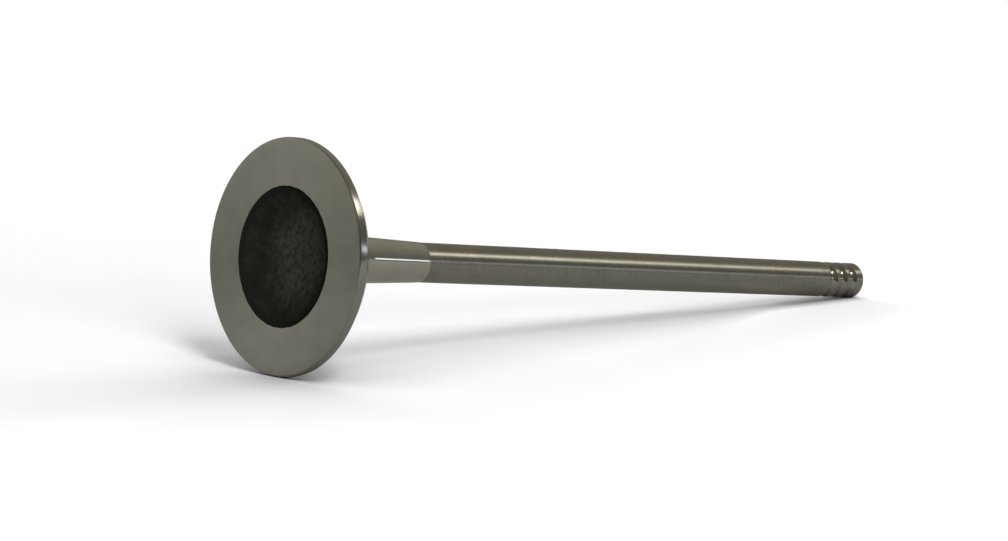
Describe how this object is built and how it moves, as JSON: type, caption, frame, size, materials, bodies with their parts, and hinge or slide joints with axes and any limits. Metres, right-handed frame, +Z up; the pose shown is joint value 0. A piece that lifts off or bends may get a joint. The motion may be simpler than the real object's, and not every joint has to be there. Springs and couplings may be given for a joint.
{
  "type": "engine valve",
  "caption": "Poppet valve of an engine: flat round head with a shallow dish, narrow margin, conical seat, curved neck, long ground stem and rounded keeper grooves near the tip.",
  "frame": {"origin": "centre of the combustion face, in the plane of its turned ring, on which the valve stands", "axes": "+Z up the stem, from the combustion face to the stem tip; the valve is round about Z, so X and Y are free"},
  "size_m": [0.04, 0.04, 0.1486],
  "materials": {
    "valve_steel": "turned face and ground stem, dark forged scale in the dish"
  },
  "bodies": {
    "root": {"valve": "valve_steel"}
  },
  "joints": []
}
